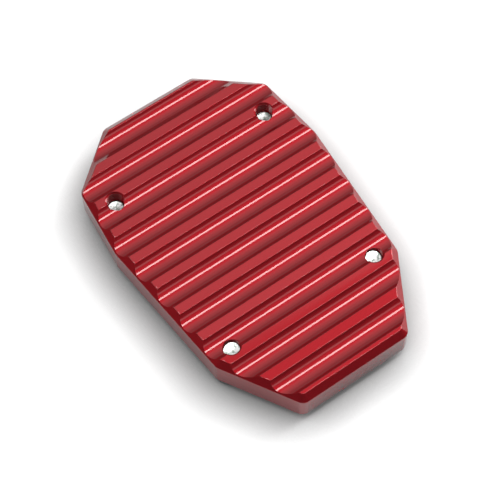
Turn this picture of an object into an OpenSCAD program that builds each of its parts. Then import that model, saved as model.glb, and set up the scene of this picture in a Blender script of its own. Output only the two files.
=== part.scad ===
// Kickstand foot enlarger, lying with its grooved ground face up.
// X runs across the plate along the grooves, Y along the plate, Z up.
// The origin is at the middle of the plate, on the face the assembly lies on.

/* [Ground plate] */
// Length of the ground plate over its two end edges
plate_l = 92.4; // [85:0.1:110]
// Thickness of the ground plate over its lands
plate_t = 9.6; // [8.5:0.1:14]
// Width of the end edge at +Y
end_a_w = 27.6; // [16:0.1:34]
// Width across the shoulders near the +Y end
shoulder_a_w = 57.8; // [54:0.1:59]
// Distance of those shoulders from the +Y end
shoulder_a_y = 12.7; // [8:0.1:16]
// Greatest width of the plate
plate_w = 61.9; // [60:0.1:72]
// Distance of the greatest width from the +Y end
widest_y = 32.4; // [26:0.1:40]
// Width across the shoulders near the -Y end
shoulder_b_w = 55.3; // [54:0.1:58]
// Distance of those shoulders from the -Y end
shoulder_b_y = 20.1; // [16:0.1:24]
// Width of the end edge at -Y
end_b_w = 31.5; // [20:0.1:38]
// Radius on the upright corners of the outline
corner_r = 2.4; // [0.4:0.1:3]
// Chamfer round the ground face
chamfer = 1.75; // [0.5:0.05:2.5]
// Small chamfer round the stand-side face
under_chamfer = 0.4; // [0.2:0.05:1]

/* [Grooves] */
// Number of grooves across the ground face
groove_count = 10; // [1:1:10]
// Distance from one groove to the next
groove_pitch = 9; // [7.5:0.1:9]
// Width of a groove at the ground face
groove_w = 6.5; // [3:0.1:7]
// Radius of the round-bottomed cutter that makes a groove
groove_r = 4.5; // [4.2:0.1:9]
// Distance of the first groove from the +Y end edge
groove_start = 2.2; // [1.8:0.1:3.5]

/* [Screw places] */
// Spacing across of the two holes near the +Y end
hole_a_spacing = 46.2; // [45:0.1:46.5]
// Distance of those two holes from the +Y end
hole_a_y = 20.3; // [19:0.1:24]
// Spacing across of the two holes near the -Y end
hole_b_spacing = 43.4; // [43:0.1:44]
// Distance of those two holes from the -Y end
hole_b_y = 22.1; // [21:0.1:24]
// Clearance between a screw's shank and its tapped hole
thread_clear = 0.1; // [0.02:0.01:0.15]
// Chamfer at each mouth of a tapped hole
tapped_chamfer = 0.3; // [0.1:0.05:0.5]

/* [Foot pocket] */
// Width of the pocket that takes the stand's foot
pocket_w = 32; // [24:0.1:33]
// Length of the pocket
pocket_l = 46; // [36:0.1:50]
// Depth of the pocket into the stand side of the plate
pocket_depth = 4.5; // [3:0.1:5.5]
// Radius in the corners of the pocket
pocket_r = 8; // [3:0.1:11]

/* [Clamp bracket] */
// Thickness of the clamp bracket
bracket_t = 3; // [2.9:0.1:6]
// Radius of the ear round each screw
ear_r = 5.5; // [5.4:0.1:6]
// Width of the slot for the stand's leg
slot_w = 24; // [14:0.1:25]
// Distance of the slot's round end from the screws near the -Y end
slot_end_y = 15; // [10:0.1:20]
// Chamfer round the outer face of the bracket
bracket_chamfer = 0.6; // [0.2:0.05:0.7]
// Radius on the inner corners at the tips of the bracket's arms
arm_tip_r = 3; // [1:0.1:5]

/* [Clamp screws] */
// Length of the two screws near the +Y end, from head face to tip
screw_a_l = 8.5; // [8:0.5:12]
// Length of the two screws near the -Y end, from head face to tip
screw_b_l = 10; // [8:0.5:12]
// Diameter of the shank, halfway up its thread
screw_d = 4.4; // [3.6:0.1:4.6]
// Diameter of the countersunk head
head_d = 9.2; // [7:0.1:9.4]
// Depth of the head face below the bracket's face
head_sink = 0.05; // [0:0.05:0.2]
// Height of the straight rim of the head
head_rim = 0.3; // [0.1:0.05:0.4]
// Chamfer on the screw's tip
tip_chamfer = 0.2; // [0.1:0.05:0.8]
// Width across flats of the hexagon socket
socket_af = 3; // [2:0.1:3.4]
// Depth of the hexagon socket
socket_depth = 2; // [1:0.1:2.5]
// Clearance between a screw's head and its seat in the bracket
seat_clear = 0.04; // [0.02:0.01:0.1]
// Diameter of the clearance holes in the bracket
clearance_d = 5.4; // [5.1:0.1:5.8]

/* [Hidden] */
$fn = 96;
// Overlap that keeps a cut from ending exactly on a face
eps = 0.01;
// How far a cutting block reaches past what it cuts
reach = 20;
// Straight steps in the arc round each upright corner
arc_steps = 5;
half_l = plate_l / 2;
total_t = bracket_t + plate_t;

// Right-hand half of the outline from the -Y end to the +Y end
half_outline = [
    [end_b_w / 2, -half_l],
    [shoulder_b_w / 2, -half_l + shoulder_b_y],
    [plate_w / 2, half_l - widest_y],
    [shoulder_a_w / 2, half_l - shoulder_a_y],
    [end_a_w / 2, half_l]
];
half_count = len(half_outline);
mirrored_half = [for (i = [half_count - 1:-1:0]) [-half_outline[i][0], half_outline[i][1]]];
outline = concat(half_outline, mirrored_half);
sides = len(outline);

screw_places = [
    [-hole_a_spacing / 2, half_l - hole_a_y],
    [hole_a_spacing / 2, half_l - hole_a_y],
    [hole_b_spacing / 2, -half_l + hole_b_y],
    [-hole_b_spacing / 2, -half_l + hole_b_y]
];

screw_lengths = [screw_a_l, screw_a_l, screw_b_l, screw_b_l];

groove_axis_up = sqrt(groove_r * groove_r - groove_w * groove_w / 4);
pocket_y = (screw_places[0][1] + screw_places[2][1]) / 2;
slot_y = screw_places[2][1] + slot_end_y;
arm_end_y = screw_places[0][1] + ear_r;
head_cone_h = (head_d - screw_d) / 2;
tapped_d = screw_d + 2 * thread_clear;
seat_d = head_d + 2 * seat_clear;
seat_cone_h = (seat_d - clearance_d) / 2;

function unit(v) = v / norm(v);
function heading(v) = atan2(v[1], v[0]);

// Points of the arc that rounds corner q between its neighbours p and n
function rounded_corner(p, q, n, r) =
    let (
        a = unit(p - q),
        b = unit(n - q),
        half_angle = acos(a * b) / 2,
        centre = q + unit(a + b) * r / sin(half_angle),
        from = heading(q + a * r / tan(half_angle) - centre),
        to = heading(q + b * r / tan(half_angle) - centre),
        turn = (to - from + 540) % 360 - 180
    )
    [for (i = [0:arc_steps]) centre + r * [cos(from + turn * i / arc_steps), sin(from + turn * i / arc_steps)]];

// Outline with every corner rounded
function rounded_outline(points, r) = [
    for (i = [0:len(points) - 1])
        each rounded_corner(
            points[(i + len(points) - 1) % len(points)],
            points[i],
            points[(i + 1) % len(points)],
            r
        )
];

// Block that cuts a 45 degree chamfer along the edge from p to q at height z
module edge_cutter(p, q, z, size, up) {
    span = norm(q - p) + 2 * reach;
    along = heading(q - p);
    translate([(p[0] + q[0]) / 2, (p[1] + q[1]) / 2, z])
        rotate([0, 0, along])
            translate([0, 0, up ? -size : size])
                rotate([up ? 45 : -45, 0, 0])
                    translate([-span / 2, -reach, up ? 0 : -reach])
                        cube([span, 2 * reach, reach]);
}

module at_screws() {
    for (place = screw_places)
        translate([place[0], place[1], 0])
            children();
}

// Tapped hole through the plate with a chamfer at each mouth
module tapped_hole() {
    translate([0, 0, bracket_t - eps])
        cylinder(h = plate_t + 2 * eps, d = tapped_d);
    translate([0, 0, total_t - tapped_chamfer])
        cylinder(h = tapped_chamfer + eps, d1 = tapped_d, d2 = tapped_d + 2 * (tapped_chamfer + eps));
    translate([0, 0, bracket_t - eps])
        cylinder(h = tapped_chamfer + eps, d1 = tapped_d + 2 * (tapped_chamfer + eps), d2 = tapped_d);
}

// Round-bottomed trough that runs right across the plate
module groove() {
    translate([0, 0, total_t + groove_axis_up])
        rotate([0, 90, 0])
            cylinder(h = plate_w + reach, r = groove_r, center = true);
}

// Slab with round corners, centred on the Z axis
module round_slab(w, l, h, r) {
    translate([-w / 2, -l / 2 + r, 0])
        cube([w, l - 2 * r, h]);
    translate([-w / 2 + r, -l / 2, 0])
        cube([w - 2 * r, l, h]);
    for (x = [-1, 1], y = [-1, 1])
        translate([x * (w / 2 - r), y * (l / 2 - r), 0])
            cylinder(h = h, r = r);
}

module ground_plate() {
    color("crimson")
        difference() {
            translate([0, 0, bracket_t])
                linear_extrude(plate_t)
                    polygon(rounded_outline(outline, corner_r));
            for (i = [0:sides - 1]) {
                edge_cutter(outline[i], outline[(i + 1) % sides], total_t, chamfer, true);
                edge_cutter(outline[i], outline[(i + 1) % sides], bracket_t, under_chamfer, false);
            }
            for (i = [0:groove_count - 1])
                translate([0, half_l - groove_start - groove_w / 2 - i * groove_pitch, 0])
                    groove();
            at_screws()
                tapped_hole();
            translate([0, pocket_y, bracket_t - eps])
                round_slab(pocket_w, pocket_l, pocket_depth + eps, pocket_r);
        }
}

// Disc as thick as the bracket, with a chamfer round its lower rim
module bracket_disc(r) {
    cylinder(h = bracket_chamfer, r1 = r - bracket_chamfer, r2 = r);
    translate([0, 0, bracket_chamfer])
        cylinder(h = bracket_t - bracket_chamfer, r = r);
}

// Straight side between two ears, with the same chamfer on its outer edge
module side_bar(p, q) {
    translate([p[0], p[1], 0])
        rotate([0, 0, heading(q - p)])
            rotate([90, 0, 90])
                linear_extrude(norm(q - p))
                    polygon([
                        [0, 0],
                        [0, bracket_t],
                        [-ear_r, bracket_t],
                        [-ear_r, bracket_chamfer],
                        [-ear_r + bracket_chamfer, 0]
                    ]);
}

// Slot for the leg, open at +Y, with a chamfer on its lower edge
module leg_slot() {
    run = arm_end_y - slot_y + reach;
    translate([0, slot_y, -eps])
        cylinder(h = bracket_t + 2 * eps, d = slot_w);
    translate([0, slot_y, -eps])
        cylinder(h = bracket_chamfer + eps, d1 = slot_w + 2 * (bracket_chamfer + eps), d2 = slot_w);
    translate([0, slot_y, 0])
        rotate([-90, 0, 0])
            linear_extrude(run)
                polygon([
                    [-slot_w / 2 - bracket_chamfer - eps, eps],
                    [slot_w / 2 + bracket_chamfer + eps, eps],
                    [slot_w / 2, -bracket_chamfer],
                    [slot_w / 2, -bracket_t - eps],
                    [-slot_w / 2, -bracket_t - eps],
                    [-slot_w / 2, -bracket_chamfer]
                ]);
}

// What is cut from the inner corner of an arm to round its tip
module arm_tip_cut() {
    translate([slot_w / 2, arm_end_y - arm_tip_r, 0])
        difference() {
            translate([-eps, 0, -reach])
                cube([arm_tip_r + eps, reach, 2 * reach]);
            translate([arm_tip_r, 0, 0])
                bracket_disc(arm_tip_r);
        }
}

// Countersunk seat and clearance hole for one screw
module screw_seat() {
    translate([0, 0, -eps])
        cylinder(h = head_sink + head_rim + eps, d = seat_d);
    translate([0, 0, head_sink + head_rim])
        cylinder(h = seat_cone_h, d1 = seat_d, d2 = clearance_d);
    translate([0, 0, -eps])
        cylinder(h = bracket_t + 2 * eps, d = clearance_d);
}

module clamp_bracket() {
    color("dimgray")
        difference() {
            union() {
                linear_extrude(bracket_t)
                    polygon(screw_places);
                for (i = [0:3])
                    side_bar(screw_places[(i + 1) % 4], screw_places[i]);
                at_screws()
                    bracket_disc(ear_r);
            }
            leg_slot();
            for (side = [0, 1])
                mirror([side, 0, 0])
                    arm_tip_cut();
            at_screws()
                screw_seat();
        }
}

// One countersunk screw of the given length, its head face down
module clamp_screw(length) {
    shank_top = head_sink + length;
    difference() {
        union() {
            translate([0, 0, head_sink])
                cylinder(h = head_rim, d = head_d);
            translate([0, 0, head_sink + head_rim])
                cylinder(h = head_cone_h, d1 = head_d, d2 = screw_d);
            translate([0, 0, head_sink + head_rim])
                cylinder(h = length - head_rim - tip_chamfer, d = screw_d);
            translate([0, 0, shank_top - tip_chamfer])
                cylinder(h = tip_chamfer, d1 = screw_d, d2 = screw_d - 2 * tip_chamfer);
        }
        translate([0, 0, head_sink - eps])
            cylinder(h = socket_depth + eps, d = socket_af / cos(30), $fn = 6);
    }
}

module clamp_screws() {
    color("silver")
        for (i = [0:3])
            translate([screw_places[i][0], screw_places[i][1], 0])
                clamp_screw(screw_lengths[i]);
}

ground_plate();
clamp_bracket();
clamp_screws();
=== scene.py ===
# %% [markdown]
# # A kickstand foot enlarger, dressed in Blender
#
# The real object is a thick aluminium plate, milled from bar, anodised red and
# screwed to a slotted bracket that holds it on the foot of a motorbike's side
# stand. It lies here with its grooved ground face up.
#
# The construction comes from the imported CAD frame. This script gives each piece
# its worked edges, its threads and its finish, and lights and frames the scene.

# %% The frame
import math

import bmesh
import bpy
from mathutils import Matrix, Vector


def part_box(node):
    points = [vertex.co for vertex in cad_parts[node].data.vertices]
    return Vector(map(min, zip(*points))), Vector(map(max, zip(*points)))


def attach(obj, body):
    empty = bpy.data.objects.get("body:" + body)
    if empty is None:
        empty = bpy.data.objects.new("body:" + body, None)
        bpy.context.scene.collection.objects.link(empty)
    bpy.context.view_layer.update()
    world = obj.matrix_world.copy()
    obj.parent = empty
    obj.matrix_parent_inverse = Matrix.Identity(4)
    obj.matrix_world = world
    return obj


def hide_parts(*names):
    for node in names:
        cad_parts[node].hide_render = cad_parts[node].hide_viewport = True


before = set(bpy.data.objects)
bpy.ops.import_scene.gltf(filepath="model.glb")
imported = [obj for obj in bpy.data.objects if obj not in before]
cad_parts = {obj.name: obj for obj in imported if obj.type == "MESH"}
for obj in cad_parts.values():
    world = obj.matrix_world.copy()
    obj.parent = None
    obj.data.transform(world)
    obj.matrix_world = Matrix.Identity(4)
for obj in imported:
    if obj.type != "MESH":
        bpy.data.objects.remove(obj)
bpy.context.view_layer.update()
MM = 0.001

# %% [markdown]
# ## Sizes
#
# The plate is modelled again here, because a milled part is known by its small
# edge roundings and by how smoothly its grooves shine, and the frame's mesh is
# too coarse for both. Its sizes are those of the construction, in millimetres.
# The two screws near the narrower end are the shorter ones, so their tips lie
# deeper in their holes, as the photograph shows.

# %% Sizes of the plate and its screws
PLATE_BOTTOM = 3.0
PLATE_TOP = 12.6
HALF_LENGTH = 46.2
# Corners of the right-hand half of the outline, from the -Y end to the +Y end
HALF_OUTLINE = [(15.75, -46.2), (27.65, -26.1), (30.95, 13.8), (28.9, 33.5), (13.8, 46.2)]
CORNER_R = 2.4
CORNER_STEPS = 8
CHAMFER = 1.75
UNDER_CHAMFER = 0.4

GROOVES = 10
GROOVE_PITCH = 9.0
GROOVE_W = 6.5
GROOVE_R = 4.5
GROOVE_START = 2.2

# Place of each screw, height of its tip, and the turn at which it came to a stop
SCREW_PLACES = [(-23.1, 25.9), (23.1, 25.9), (21.7, -24.1), (-21.7, -24.1)]
SCREW_TOPS = [8.55, 8.55, 10.05, 10.05]
SCREW_TURNS = [200, 60, 150, 290]
BORE_R = 2.3
RIM_CHAMFER = 0.3
SCREW_BOTTOM = 0.05

POCKET_W = 32.0
POCKET_L = 46.0
POCKET_DEPTH = 4.5
POCKET_R = 8.0
POCKET_Y = (SCREW_PLACES[0][1] + SCREW_PLACES[2][1]) / 2

plate_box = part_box("ground_plate")
print("Plate top in the frame, mm:", round(plate_box[1].z / MM, 3), "and here:", PLATE_TOP)

# %% [markdown]
# ## Small helpers
#
# Every new piece is made in millimetres, where Blender's booleans and bevels
# work on handy numbers, and is shrunk to metres when it is finished.

# %% Objects and applied modifiers
def new_object(name, bm):
    """Makes an object of a bmesh, frees the bmesh and puts the object in the scene."""
    bmesh.ops.recalc_face_normals(bm, faces=bm.faces)
    mesh = bpy.data.meshes.new(name)
    bm.to_mesh(mesh)
    bm.free()
    piece = bpy.data.objects.new(name, mesh)
    bpy.context.scene.collection.objects.link(piece)
    return piece


def settle(piece):
    """Applies every modifier of a piece."""
    depsgraph = bpy.context.evaluated_depsgraph_get()
    finished = bpy.data.meshes.new_from_object(piece.evaluated_get(depsgraph))
    rough = piece.data
    piece.modifiers.clear()
    piece.data = finished
    bpy.data.meshes.remove(rough)
    finished.name = piece.name


def cut(piece, cutter):
    """Takes the cutter's shape out of the piece, and deletes the cutter."""
    boolean = piece.modifiers.new("cut", "BOOLEAN")
    boolean.operation = "DIFFERENCE"
    boolean.solver = "EXACT"
    boolean.object = cutter
    settle(piece)
    bpy.data.objects.remove(cutter)


def round_edges(piece, width, segments, angle):
    """Rounds every edge that is sharper than the angle, as deburring does."""
    bm = bmesh.new()
    bm.from_mesh(piece.data)
    sharp = [edge for edge in bm.edges if edge.calc_face_angle() > math.radians(angle)]
    bmesh.ops.bevel(
        bm,
        geom=sharp,
        offset=width,
        segments=segments,
        profile=0.5,
        affect="EDGES",
        material=-1,
        clamp_overlap=False,
    )
    bmesh.ops.dissolve_degenerate(bm, dist=1e-3, edges=bm.edges)
    bm.to_mesh(piece.data)
    bm.free()


def finish_shading(piece, sharp_angle):
    """Shades a piece smooth, keeps real corners crisp and its flat faces flat."""
    piece.data.shade_smooth()
    piece.data.set_sharp_from_angle(angle=math.radians(sharp_angle))
    normals = piece.modifiers.new("normals", "WEIGHTED_NORMAL")
    normals.keep_sharp = True
    settle(piece)


def open_edges(piece):
    """Counts the edges that don't have exactly two faces."""
    bm = bmesh.new()
    bm.from_mesh(piece.data)
    count = sum(1 for edge in bm.edges if len(edge.link_faces) != 2)
    bm.free()
    return count


# %% [markdown]
# ## Ground plate: the blank
#
# The blank is the ten-sided outline with corners as round as the milling cutter
# that went round them, each rounded by the length that this radius needs at its
# own angle. The outline is extruded up to the chamfer. The chamfer is then an
# inset of the top face, lifted by its own width, because an inset follows the
# round corners as the chamfering tool does, and leaves a small cone at each.

# %% Outline and blank
outline = HALF_OUTLINE + [(-x, y) for x, y in reversed(HALF_OUTLINE)]


def inset_and_move(bm, face, width, rise):
    """Insets a face by the width and moves it up or down."""
    bmesh.ops.inset_region(bm, faces=[face], thickness=width, use_even_offset=True)
    bmesh.ops.translate(bm, verts=face.verts, vec=(0, 0, rise))


bm = bmesh.new()
base = bm.faces.new([bm.verts.new((x, y, PLATE_BOTTOM + UNDER_CHAMFER)) for x, y in outline])
for vert, place in zip(list(base.verts), outline):
    before, after = (edge.other_vert(vert).co - vert.co for edge in vert.link_edges)
    turn = math.pi - before.angle(after)
    bmesh.ops.bevel(
        bm,
        geom=[vert],
        offset=CORNER_R * math.tan(turn / 2),
        segments=CORNER_STEPS,
        profile=0.5,
        affect="VERTICES",
        material=-1,
    )
base = bm.faces[:][0]
raised = bmesh.ops.extrude_face_region(bm, geom=[base], use_keep_orig=True)
top = next(part for part in raised["geom"] if isinstance(part, bmesh.types.BMFace))
wall_height = PLATE_TOP - CHAMFER - PLATE_BOTTOM - UNDER_CHAMFER
bmesh.ops.translate(bm, verts=top.verts, vec=(0, 0, wall_height))
inset_and_move(bm, top, CHAMFER, CHAMFER)
inset_and_move(bm, base, UNDER_CHAMFER, -UNDER_CHAMFER)
plate = new_object("ground_plate_milled", bm)
print("Blank:", len(plate.data.polygons), "faces, open edges:", open_edges(plate))

# %% [markdown]
# ## Ground plate: pocket and rounded edges
#
# The pocket for the stand's foot is a block with four rounded corners. After
# milling, the plate is tumbled, which takes the knife edge off it. The rounding
# is only a tenth of a millimetre, and it is what draws the fine line along each
# edge. It is a bevel, made while the mesh is still simple enough to take one.

# %% Pocket
POCKET_STEPS = 16

# The block is twice as deep as the pocket, so that half of it stands out below the plate
bm = bmesh.new()
block = Matrix.Diagonal((POCKET_W, POCKET_L, 2 * POCKET_DEPTH, 1))
place = Matrix.Translation((0, POCKET_Y, PLATE_BOTTOM))
bmesh.ops.create_cube(bm, size=1, matrix=place @ block)
corners = [edge for edge in bm.edges if abs(edge.verts[0].co.z - edge.verts[1].co.z) > 1]
bmesh.ops.bevel(
    bm,
    geom=corners,
    offset=POCKET_R,
    segments=POCKET_STEPS,
    profile=0.5,
    affect="EDGES",
    material=-1,
)
cut(plate, new_object("pocket_cutter", bm))
print("Pocketed:", len(plate.data.polygons), "faces, open edges:", open_edges(plate))

# %% Rounded edges
EDGE_R = 0.12
EDGE_STEPS = 3
# The rounded corners turn less than 8 degrees a step and are left alone
EDGE_ANGLE = 25
round_edges(plate, EDGE_R, EDGE_STEPS, EDGE_ANGLE)
print("Rounded:", len(plate.data.polygons), "faces, open edges:", open_edges(plate))

# %% [markdown]
# ## Ground plate: the grooves
#
# A round-nosed tool runs across the plate ten times. Its section is an arc, spun
# from one land edge to the other, with a shelf on each side that rises a hair
# above the land. The corner between arc and shelf is rounded, so that the cut
# leaves each land edge rounded as the rest of the plate. The section is drawn
# out along X, and is then copied once for each groove.

# %% Ten grooves across
GROOVE_STEPS = 34
CUTTER_REACH = 40
SHELF = 0.5
SHELF_RISE = 0.02
CUTTER_H = 2

axis_height = PLATE_TOP + math.sqrt(GROOVE_R**2 - (GROOVE_W / 2) ** 2)
first_groove_y = HALF_LENGTH - GROOVE_START - GROOVE_W / 2

bm = bmesh.new()
arc_start = bm.verts.new((-CUTTER_REACH, first_groove_y - GROOVE_W / 2, PLATE_TOP))
bmesh.ops.spin(
    bm,
    geom=[arc_start],
    cent=(0, first_groove_y, axis_height),
    axis=(1, 0, 0),
    angle=2 * math.asin(GROOVE_W / 2 / GROOVE_R),
    steps=GROOVE_STEPS,
)
land_edges = [vert for vert in bm.verts if len(vert.link_edges) == 1]
closing = []
for vert in land_edges:
    outward = math.copysign(SHELF, vert.co.y - first_groove_y)
    shelf_end = bm.verts.new(vert.co + Vector((0, outward, SHELF_RISE)))
    top_corner = bm.verts.new(vert.co + Vector((0, outward, CUTTER_H)))
    bm.edges.new((vert, shelf_end))
    bm.edges.new((shelf_end, top_corner))
    closing.append(top_corner)
bm.edges.new(closing)
bmesh.ops.contextual_create(bm, geom=bm.edges[:])
bmesh.ops.bevel(
    bm,
    geom=land_edges,
    offset=EDGE_R,
    segments=EDGE_STEPS,
    profile=0.5,
    affect="VERTICES",
    material=-1,
)
drawn = bmesh.ops.extrude_face_region(bm, geom=bm.faces[:], use_keep_orig=True)
far_verts = [part for part in drawn["geom"] if isinstance(part, bmesh.types.BMVert)]
bmesh.ops.translate(bm, verts=far_verts, vec=(2 * CUTTER_REACH, 0, 0))
one_groove = bm.verts[:] + bm.edges[:] + bm.faces[:]
for number in range(1, GROOVES):
    copied = bmesh.ops.duplicate(bm, geom=one_groove)["geom"]
    verts = [part for part in copied if isinstance(part, bmesh.types.BMVert)]
    bmesh.ops.translate(bm, verts=verts, vec=(0, -number * GROOVE_PITCH, 0))
cutter = new_object("groove_cutter", bm)
print("Cutter:", len(cutter.data.polygons), "faces, open edges:", open_edges(cutter))
cut(plate, cutter)
print("Grooved:", len(plate.data.polygons), "faces, open edges:", open_edges(plate))

# %% [markdown]
# ## Ground plate: drilled and tapped holes
#
# Each hole is cut by a drill shape: a half profile, spun a full turn, that has
# the wide part round the screw, the narrower core of the thread above it, and
# the countersink of the mouth. The thread is a trapezoid on the side of that
# core, spun with a rise of one pitch a turn. The drill reaches past both faces of
# the plate, because a boolean is safest where no two faces share a plane.

# %% Drilled holes
THREAD_PITCH = 0.8
THREAD_CORE_R = 2.24
THREAD_ROOT_R = 2.5
TURNED_STEPS = 64
DRILL_PAST = 1


def spun_solid(bm, profile, steps):
    """Spins a half profile of (radius, height) points a full turn about Z."""
    points = [bm.verts.new((radius, 0, height)) for radius, height in profile]
    edges = [bm.edges.new(pair) for pair in zip(points, points[1:])]
    bmesh.ops.spin(
        bm,
        geom=points + edges,
        cent=(0, 0, 0),
        axis=(0, 0, 1),
        angle=2 * math.pi,
        steps=steps,
        use_merge=True,
    )
    bmesh.ops.remove_doubles(bm, verts=bm.verts, dist=1e-4)


def copy_to_places(bm, places):
    """Moves what is in the bmesh to the first place and copies it to the others."""
    first = bm.verts[:] + bm.edges[:] + bm.faces[:]
    for x, y in places[1:]:
        copied = bmesh.ops.duplicate(bm, geom=first)["geom"]
        verts = [part for part in copied if isinstance(part, bmesh.types.BMVert)]
        bmesh.ops.translate(bm, verts=verts, vec=(x, y, 0))
    verts = [part for part in first if isinstance(part, bmesh.types.BMVert)]
    bmesh.ops.translate(bm, verts=verts, vec=(*places[0], 0))


mouth_r = BORE_R + RIM_CHAMFER
# The thread starts a little below the tip of the shortest screw
thread_foot = min(SCREW_TOPS) - 0.1
drill_profile = [
    (0, PLATE_BOTTOM - DRILL_PAST),
    (mouth_r + DRILL_PAST, PLATE_BOTTOM - DRILL_PAST),
    (BORE_R, PLATE_BOTTOM + RIM_CHAMFER),
    (BORE_R, thread_foot),
    (THREAD_CORE_R, thread_foot),
    (THREAD_CORE_R, PLATE_TOP - (mouth_r - THREAD_CORE_R)),
    (mouth_r + DRILL_PAST, PLATE_TOP + DRILL_PAST),
    (0, PLATE_TOP + DRILL_PAST),
]
bm = bmesh.new()
spun_solid(bm, drill_profile, TURNED_STEPS)
copy_to_places(bm, SCREW_PLACES)
cut(plate, new_object("drill", bm))
print("Drilled:", len(plate.data.polygons), "faces, open edges:", open_edges(plate))


# %% Threads in the holes
THREAD_STEPS = 32
# Half the width of a thread's cut at its open side, and at the bottom of each cut
OPEN_HALF = 0.36
TAP_END_HALF = 0.08
DIE_END_HALF = 0.04
# How far the tap reaches past the ends of the thread, and into the open core
TAP_PAST = 0.3
TAP_OVERLAP = 0.1


def thread_ridge(bm, inner_r, outer_r, inner_half, outer_half, low, high):
    """A helical ridge, from an inner to an outer radius, between two heights."""
    profile = [
        (inner_r, -inner_half),
        (outer_r, -outer_half),
        (outer_r, outer_half),
        (inner_r, inner_half),
    ]
    turns = (high - low) / THREAD_PITCH
    steps = round(turns * THREAD_STEPS)
    corners = [bm.verts.new((radius, 0, low + height)) for radius, height in profile]
    section = bm.faces.new(corners)
    bmesh.ops.spin(
        bm,
        geom=section.verts[:] + section.edges[:] + [section],
        cent=(0, 0, 0),
        axis=(0, 0, 1),
        dvec=(0, 0, (high - low) / steps),
        angle=2 * math.pi * turns,
        steps=steps,
    )
    # The spin leaves the first and the last section open
    bmesh.ops.holes_fill(bm, edges=[edge for edge in bm.edges if edge.is_boundary], sides=0)


bm = bmesh.new()
thread_ridge(
    bm,
    inner_r=THREAD_CORE_R - TAP_OVERLAP,
    outer_r=THREAD_ROOT_R,
    inner_half=OPEN_HALF,
    outer_half=TAP_END_HALF,
    low=thread_foot - TAP_PAST,
    high=PLATE_TOP + TAP_PAST,
)
copy_to_places(bm, SCREW_PLACES)
cut(plate, new_object("tap", bm))
print("Tapped:", len(plate.data.polygons), "faces, open edges:", open_edges(plate))

CREASE_ANGLE = 30
finish_shading(plate, CREASE_ANGLE)
plate.data.transform(Matrix.Scale(MM, 4))
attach(plate, "root")
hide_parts("ground_plate")


# %% [markdown]
# ## Clamp bracket
#
# The bracket lies under the plate and holds it on the stand's foot. It is a plain
# milled plate, and its frame mesh is fine enough, so that mesh is kept. A copy of
# it is merged, its flat faces are joined, and its edges get a small rounding.

# %% Bracket
BRACKET_EDGE_R = 0.1
BRACKET_EDGE_STEPS = 2
FLAT_ANGLE = math.radians(0.5)

bm = bmesh.new()
bm.from_mesh(bpy.data.objects["clamp_bracket"].data)
bmesh.ops.scale(bm, vec=(1 / MM, 1 / MM, 1 / MM), verts=bm.verts)
bmesh.ops.remove_doubles(bm, verts=bm.verts, dist=1e-3)
bmesh.ops.dissolve_limit(bm, angle_limit=FLAT_ANGLE, verts=bm.verts, edges=bm.edges)
bracket = new_object("clamp_bracket_milled", bm)
print("Bracket:", len(bracket.data.polygons), "faces, open edges:", open_edges(bracket))
round_edges(bracket, BRACKET_EDGE_R, BRACKET_EDGE_STEPS, CREASE_ANGLE)
print("Rounded:", len(bracket.data.polygons), "faces, open edges:", open_edges(bracket))
finish_shading(bracket, CREASE_ANGLE)
bracket.data.transform(Matrix.Scale(MM, 4))
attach(bracket, "root")
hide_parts("clamp_bracket")

# %% [markdown]
# ## Clamp screws
#
# The screws are countersunk machine screws with a hexagon socket. Each is spun
# from a half profile, its socket is a six-sided prism, and its thread is cut only
# near the tip, where it shows in the hole. Every screw has come to a stop at a
# turn of its own, so the thread starts elsewhere on each.

# %% One screw
SHANK_R = 2.2
HEAD_R = 4.6
HEAD_RIM = 0.3
HEAD_EDGE = 0.1
TIP_CHAMFER = 0.08
# Thread rolling leaves a shallow dish in the end of a screw
DISH_R = 1.9
DISH_DEPTH = 0.24
SOCKET_AF = 3.0
SOCKET_DEPTH = 2.0
# How far down from the tip the thread is cut, how deep, and how far out the die starts
CUT_THREAD = 3.6
DIE_DEPTH = 0.35
DIE_PAST = 0.2


def turned_screw(top):
    """A countersunk screw about the Z axis, with its tip at the given height."""
    dish_shares = [1, 0.8, 0.6, 0.4, 0.2, 0]
    dish = [(share * DISH_R, top - DISH_DEPTH * (1 - share**2)) for share in dish_shares]
    profile = [
        (0, SCREW_BOTTOM),
        (HEAD_R - HEAD_EDGE, SCREW_BOTTOM),
        (HEAD_R, SCREW_BOTTOM + HEAD_EDGE),
        (HEAD_R, SCREW_BOTTOM + HEAD_RIM),
        (SHANK_R, SCREW_BOTTOM + HEAD_RIM + HEAD_R - SHANK_R),
        (SHANK_R, top - TIP_CHAMFER),
        (SHANK_R - TIP_CHAMFER, top),
        *dish,
    ]
    bm = bmesh.new()
    spun_solid(bm, profile, TURNED_STEPS)
    screw = new_object("screw", bm)
    bm = bmesh.new()
    radius = SOCKET_AF / math.sqrt(3)
    place = Matrix.Translation((0, 0, SCREW_BOTTOM))
    bmesh.ops.create_cone(
        bm,
        cap_ends=True,
        segments=6,
        radius1=radius,
        radius2=radius,
        depth=2 * SOCKET_DEPTH,
        matrix=place,
    )
    cut(screw, new_object("socket", bm))
    bm = bmesh.new()
    thread_ridge(
        bm,
        inner_r=SHANK_R - DIE_DEPTH,
        outer_r=SHANK_R + DIE_PAST,
        inner_half=DIE_END_HALF,
        outer_half=OPEN_HALF,
        low=top - CUT_THREAD,
        high=top + 2 * DIE_PAST,
    )
    cut(screw, new_object("die", bm))
    print("Screw:", len(screw.data.polygons), "faces, open edges:", open_edges(screw))
    return screw


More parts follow.
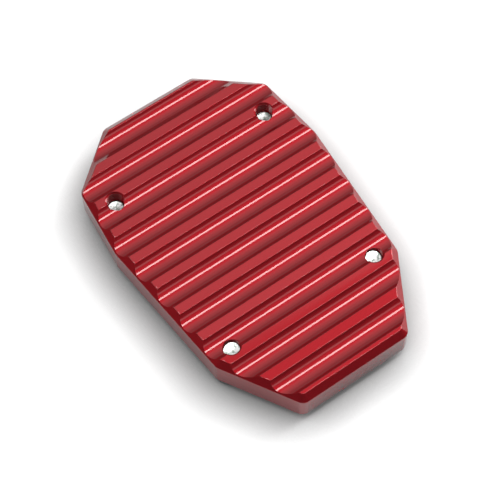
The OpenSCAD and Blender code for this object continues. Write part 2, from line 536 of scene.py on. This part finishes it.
# %% Four screws in their holes
bm = bmesh.new()
for (x, y), top, turn in zip(SCREW_PLACES, SCREW_TOPS, SCREW_TURNS):
    screw = turned_screw(top)
    stopped = Matrix.Rotation(math.radians(turn), 4, "Z")
    screw.data.transform(Matrix.Translation((x, y, 0)) @ stopped)
    bm.from_mesh(screw.data)
    bpy.data.objects.remove(screw)
screws = new_object("clamp_screws_turned", bm)
finish_shading(screws, CREASE_ANGLE)
print("Screws:", len(screws.data.polygons), "faces, open edges:", open_edges(screws))
screws.data.transform(Matrix.Scale(MM, 4))
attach(screws, "root")
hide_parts("clamp_screws")

# %% [markdown]
# ## Finishes
#
# Anodising turns the surface of the aluminium into a clear glassy layer, which is
# dyed. Light that goes through the dye comes back off the metal as red, and light
# that is reflected from the top of the layer stays white. So the finish is a
# tinted metal with a clear coat over it.
#
# Seen at a slant, light goes a longer way through the dye, so less red comes back
# from the sides of the plate than from its face. The Specular Tint is the metal's
# colour near its edge, and a dark one gives the sides that duller red.
#
# The tinted metal is rough, which spreads its red over the whole of a groove. The
# coat is nearly smooth, and its thin bright lines lie on top of that.

# %% Material helpers
def linear(hex_colour):
    """Turns an sRGB hex colour into the linear colour that a shader takes."""
    parts = [int(hex_colour[start : start + 2], 16) / 255 for start in (0, 2, 4)]
    dark = 0.04045
    return [
        part / 12.92 if part <= dark else ((part + 0.055) / 1.055) ** 2.4 for part in parts
    ] + [1]


def add_node(tree, kind, settings=None, links=None, **values):
    """Adds a node, sets its properties, its input values and its links."""
    node = tree.nodes.new(kind)
    for name, value in (settings or {}).items():
        setattr(node, name, value)
    for name, value in values.items():
        node.inputs[name.replace("_", " ")].default_value = value
    for name, source in (links or {}).items():
        tree.links.new(source, node.inputs[name])
    return node


def new_material(name):
    """Makes an empty node material with its output node."""
    material = bpy.data.materials.new(name)
    material.use_nodes = True
    material.node_tree.nodes.clear()
    output = material.node_tree.nodes.new("ShaderNodeOutputMaterial")
    return material, material.node_tree, output


# %% Red anodised aluminium
# Milling marks run along the grooves, six to a millimetre, a hundred times as long as wide
MARKS_ACROSS = 6 / MM
MARKS_ALONG = MARKS_ACROSS / 100
MARK_DEPTH = 0.01 * MM

red, tree, output = new_material("red_anodised_aluminium")
coords = add_node(tree, "ShaderNodeTexCoord")
streaks = add_node(
    tree,
    "ShaderNodeMapping",
    links={"Vector": coords.outputs["Object"]},
    Scale=(MARKS_ALONG, MARKS_ACROSS, MARKS_ACROSS),
)
noise = add_node(
    tree, "ShaderNodeTexNoise", links={"Vector": streaks.outputs["Vector"]}, Scale=1.0, Detail=2.0
)
bump = add_node(
    tree,
    "ShaderNodeBump",
    links={"Height": noise.outputs["Fac"]},
    Strength=0.25,
    Distance=MARK_DEPTH,
)
shader = add_node(
    tree,
    "ShaderNodeBsdfPrincipled",
    links={"Normal": bump.outputs["Normal"]},
    Base_Color=linear("941820"),
    Specular_Tint=linear("10A0A0"),
    Metallic=1.0,
    Roughness=0.57,
    Coat_Weight=1.0,
    Coat_Roughness=0.06,
    Coat_IOR=1.5,
)
tree.links.new(shader.outputs["BSDF"], output.inputs["Surface"])
plate.data.materials.clear()
plate.data.materials.append(red)
print("Plate's finish:", red.name)

# %% [markdown]
# ## Finish of the bracket
#
# The hidden bracket is taken as bead-blasted before it was anodised black. The
# blasting leaves fine pits, so its sheen is broken up and soft. The pits are a
# noise with a grain of about 0.15 mm that only bends the light. A second noise,
# 6 mm across, makes the sheen a little uneven, as handling does.

# %% Black anodised aluminium
PIT_SIZE = 0.15 * MM
WEAR_SIZE = 6 * MM
PIT_DEPTH = 0.004 * MM

black, tree, output = new_material("black_bead_blasted_aluminium")
coords = add_node(tree, "ShaderNodeTexCoord")
pits = add_node(
    tree,
    "ShaderNodeTexNoise",
    links={"Vector": coords.outputs["Object"]},
    Scale=1 / PIT_SIZE,
    Detail=1.0,
)
wear = add_node(
    tree,
    "ShaderNodeTexNoise",
    links={"Vector": coords.outputs["Object"]},
    Scale=1 / WEAR_SIZE,
    Detail=3.0,
)
sheen = add_node(
    tree,
    "ShaderNodeMapRange",
    links={"Value": wear.outputs["Fac"]},
    From_Min=0.3,
    From_Max=0.7,
    To_Min=0.2,
    To_Max=0.36,
)
bump = add_node(
    tree, "ShaderNodeBump", links={"Height": pits.outputs["Fac"]}, Strength=1.0, Distance=PIT_DEPTH
)
shader = add_node(
    tree,
    "ShaderNodeBsdfPrincipled",
    links={
        "Normal": bump.outputs["Normal"],
        "Coat Normal": bump.outputs["Normal"],
        "Coat Roughness": sheen.outputs["Result"],
    },
    Base_Color=linear("303032"),
    Metallic=1.0,
    Roughness=0.4,
    Coat_Weight=1.0,
    Coat_IOR=1.5,
)
tree.links.new(shader.outputs["BSDF"], output.inputs["Surface"])
bracket.data.materials.clear()
bracket.data.materials.append(black)
print("Bracket's finish:", black.name)

# %% [markdown]
# ## Finish of the screws
#
# Zinc plating is a bright but slightly milky metal, and its clear passivation
# has a faint green cast that comes in patches, about 0.9 mm across here. The end
# of a screw is left rough where its wire was cut, so there the patches are strong
# and a noise of 0.5 mm tips the surface and breaks the reflection. The share of
# that roughness grows from little at the head to full at the tip, by height.

# %% Zinc-plated steel
PATCH_SIZE = 0.9 * MM
CUT_SIZE = 0.5 * MM
CUT_DEPTH = 0.05 * MM
SMOOTH_BELOW = 6 * MM
ROUGH_ABOVE = 8 * MM

zinc, tree, output = new_material("bright_zinc_plated_steel")
coords = add_node(tree, "ShaderNodeTexCoord")
height = add_node(tree, "ShaderNodeSeparateXYZ", links={"Vector": coords.outputs["Object"]})
at_tip = add_node(
    tree,
    "ShaderNodeMapRange",
    links={"Value": height.outputs["Z"]},
    From_Min=SMOOTH_BELOW,
    From_Max=ROUGH_ABOVE,
    To_Min=0.12,
)
patches = add_node(
    tree,
    "ShaderNodeTexNoise",
    links={"Vector": coords.outputs["Object"]},
    Scale=1 / PATCH_SIZE,
    Detail=2.0,
)
stain = add_node(
    tree,
    "ShaderNodeMapRange",
    links={"Value": patches.outputs["Fac"]},
    From_Min=0.54,
    From_Max=0.4,
)
share = add_node(
    tree,
    "ShaderNodeMath",
    {"operation": "MULTIPLY"},
    {0: stain.outputs["Result"], 1: at_tip.outputs["Result"]},
)
colour = add_node(tree, "ShaderNodeMix", {"data_type": "RGBA"}, {"Factor": share.outputs["Value"]})
colour.inputs[6].default_value = linear("ECECEA")
colour.inputs[7].default_value = linear("98A39B")
cuts = add_node(
    tree,
    "ShaderNodeTexNoise",
    links={"Vector": coords.outputs["Object"]},
    Scale=1 / CUT_SIZE,
    Detail=2.0,
)
bump = add_node(
    tree,
    "ShaderNodeBump",
    links={"Height": cuts.outputs["Fac"], "Strength": at_tip.outputs["Result"]},
    Distance=CUT_DEPTH,
)
shader = add_node(
    tree,
    "ShaderNodeBsdfPrincipled",
    links={"Base Color": colour.outputs[2], "Normal": bump.outputs["Normal"]},
    Metallic=1.0,
    Roughness=0.38,
)
tree.links.new(shader.outputs["BSDF"], output.inputs["Surface"])
screws.data.materials.clear()
screws.data.materials.append(zinc)
print("Screws' finish:", zinc.name)

# %% [markdown]
# ## Floor
#
# The part lies on a white light table, as in a catalogue picture, so the floor
# stays pure white round it. The table's own glow is seen by the camera, and in
# mirrors and glass, but puts no light on the part. Near the part, ambient
# occlusion within a short distance darkens both the glow and the diffuse share.
# That is painted shade, and it gives the soft dark rim of the contact shadow. The
# rest of the floor's brightness is a plain diffuse share, which keeps the lamps'
# own shadows. All other rays see plain white paper.

# %% Light table
# A hair of air under the bracket, so that two faces never share one plane
FLOOR_GAP = 0.02 * MM
FLOOR_R = 10
CONTACT_SHADOW = 11.5 * MM
TABLE_GLOW = 0.5
# How much faster the painted contact shade darkens the glow than the diffuse share
GLOW_FALL = 2.2
DIFFUSE_SHARE = 0.5

bm = bmesh.new()
bmesh.ops.create_circle(bm, cap_ends=True, segments=64, radius=FLOOR_R)
floor = new_object("floor", bm)
floor.data.transform(Matrix.Translation((0, 0, -FLOOR_GAP)))

table, tree, output = new_material("white_light_table")
# Ambient occlusion paints shade here: it darkens the glow and the diffuse share near the part
contact = add_node(tree, "ShaderNodeAmbientOcclusion", {"samples": 8}, Distance=CONTACT_SHADOW)
openness = contact.outputs["AO"]
glow = add_node(tree, "ShaderNodeMath", {"operation": "POWER"}, {0: openness})
glow.inputs[1].default_value = GLOW_FALL
strength = add_node(tree, "ShaderNodeMath", {"operation": "MULTIPLY"}, {0: glow.outputs["Value"]})
strength.inputs[1].default_value = TABLE_GLOW
emission = add_node(tree, "ShaderNodeEmission", links={"Strength": strength.outputs["Value"]})
share = add_node(tree, "ShaderNodeMath", {"operation": "MULTIPLY"}, {0: openness})
share.inputs[1].default_value = DIFFUSE_SHARE
diffuse = add_node(tree, "ShaderNodeBsdfDiffuse", links={"Color": share.outputs["Value"]})
seen = add_node(
    tree, "ShaderNodeAddShader", links={0: diffuse.outputs["BSDF"], 1: emission.outputs["Emission"]}
)
paper = add_node(tree, "ShaderNodeBsdfDiffuse", Color=linear("F3F3F3"))
path = add_node(tree, "ShaderNodeLightPath")
straight = add_node(
    tree,
    "ShaderNodeMath",
    {"operation": "MAXIMUM"},
    {0: path.outputs["Is Camera Ray"], 1: path.outputs["Is Transmission Ray"]},
)
either = add_node(
    tree,
    "ShaderNodeMath",
    {"operation": "MAXIMUM"},
    {0: straight.outputs["Value"], 1: path.outputs["Is Glossy Ray"]},
)
shader = add_node(
    tree,
    "ShaderNodeMixShader",
    links={0: either.outputs["Value"], 1: paper.outputs["BSDF"], 2: seen.outputs["Shader"]},
)
tree.links.new(shader.outputs["Shader"], output.inputs["Surface"])
floor.data.materials.append(table)
print("Floor:", table.name)

# %% [markdown]
# ## Lamps
#
# A long strip lamp hangs nearly overhead, along the grooves, so each groove shows
# it as one thin bright line. Beyond it hang three dimmer boxes, one lower than the
# next. They light the lands and the slopes that face away from the viewer. A thin
# strip on the near side lights the slopes that face the viewer. A square lamp at
# the right throws the plate's soft shadow to the left, and a weaker one at the
# left keeps that shadow and the walls there from going dark.

# %% Lamps
# Blender's area lamp of four watts to the square metre is as bright as white
WATTS_AT_WHITE = 4


def area_lamp(name, direction, distance, width, height, radiance):
    """A rectangular lamp that faces the origin; its width lies along X."""
    away = Vector(direction).normalized()
    along = (Vector((1, 0, 0)) - away * away.x).normalized()
    across = away.cross(along)
    data = bpy.data.lights.new(name, "AREA")
    data.shape = "RECTANGLE"
    data.size = width
    data.size_y = height
    data.energy = WATTS_AT_WHITE * width * height * radiance
    lamp = bpy.data.objects.new(name, data)
    turn = Matrix((along, across, away)).transposed().to_4x4()
    lamp.matrix_world = Matrix.Translation(away * distance) @ turn
    bpy.context.scene.collection.objects.link(lamp)


area_lamp("strip_lamp", (0.25, -0.052, 0.967), 0.9, 1.2, 0.15, 10.0)
area_lamp("near_box", (0.25, 0.2, 0.947), 1.0, 1.3, 0.24, 0.16)
area_lamp("soft_box", (0.25, 0.57, 0.783), 1.0, 1.3, 0.62, 0.6)
area_lamp("low_box", (0.25, 0.89, 0.38), 1.0, 1.3, 0.45, 0.35)
area_lamp("thin_strip", (0.25, -0.56, 0.79), 1.0, 1.3, 0.17, 1.0)
area_lamp("right_lamp", (0.85, 0, 0.5), 1.0, 0.6, 0.6, 5.8)
area_lamp("left_lamp", (-0.6, 0.3, 0.7), 1.0, 0.6, 0.6, 2.0)

# %% Room
# The room itself is nearly dark, so that grooves turned away from the lamps stay deep
world = bpy.data.worlds.new("room")
world.use_nodes = True
bpy.context.scene.world = world
tree = world.node_tree
tree.nodes.clear()
output = tree.nodes.new("ShaderNodeOutputWorld")
background = add_node(tree, "ShaderNodeBackground", Color=linear("3F3F3F"), Strength=1.0)
tree.links.new(background.outputs["Background"], output.inputs["Surface"])

# %% [markdown]
# ## Camera
#
# The picture is taken from above and to the left, with a long lens, so the plate
# stands on its corner in the view and its far end is hardly smaller than its near
# one. The angles, the distance and the point aimed at come from laying the
# plate's outline, its grooves and its holes over the photograph.

# %% Camera
AZIMUTH = math.radians(-33.72)
ELEVATION = math.radians(63.41)
ROLL = math.radians(-1.29)
DISTANCE = 0.4045
TARGET = Vector((-3.10, -5.415, PLATE_TOP)) * MM
LENS = 116.44
SENSOR = 36

back = Vector(
    (
        math.sin(AZIMUTH) * math.cos(ELEVATION),
        -math.cos(AZIMUTH) * math.cos(ELEVATION),
        math.sin(ELEVATION),
    )
)
level_right = Vector((math.cos(AZIMUTH), math.sin(AZIMUTH), 0))
level_up = back.cross(level_right)
right = level_right * math.cos(ROLL) + level_up * math.sin(ROLL)
up = back.cross(right)
data = bpy.data.cameras.new("camera")
data.lens = LENS
data.sensor_width = SENSOR
camera = bpy.data.objects.new("camera", data)
turn = Matrix((right, up, back)).transposed().to_4x4()
camera.matrix_world = Matrix.Translation(TARGET + back * DISTANCE) @ turn
bpy.context.scene.collection.objects.link(camera)
bpy.context.scene.camera = camera
bpy.context.scene.view_settings.view_transform = "Standard"
print("Camera, mm:", [round(part / MM, 1) for part in camera.matrix_world.translation])
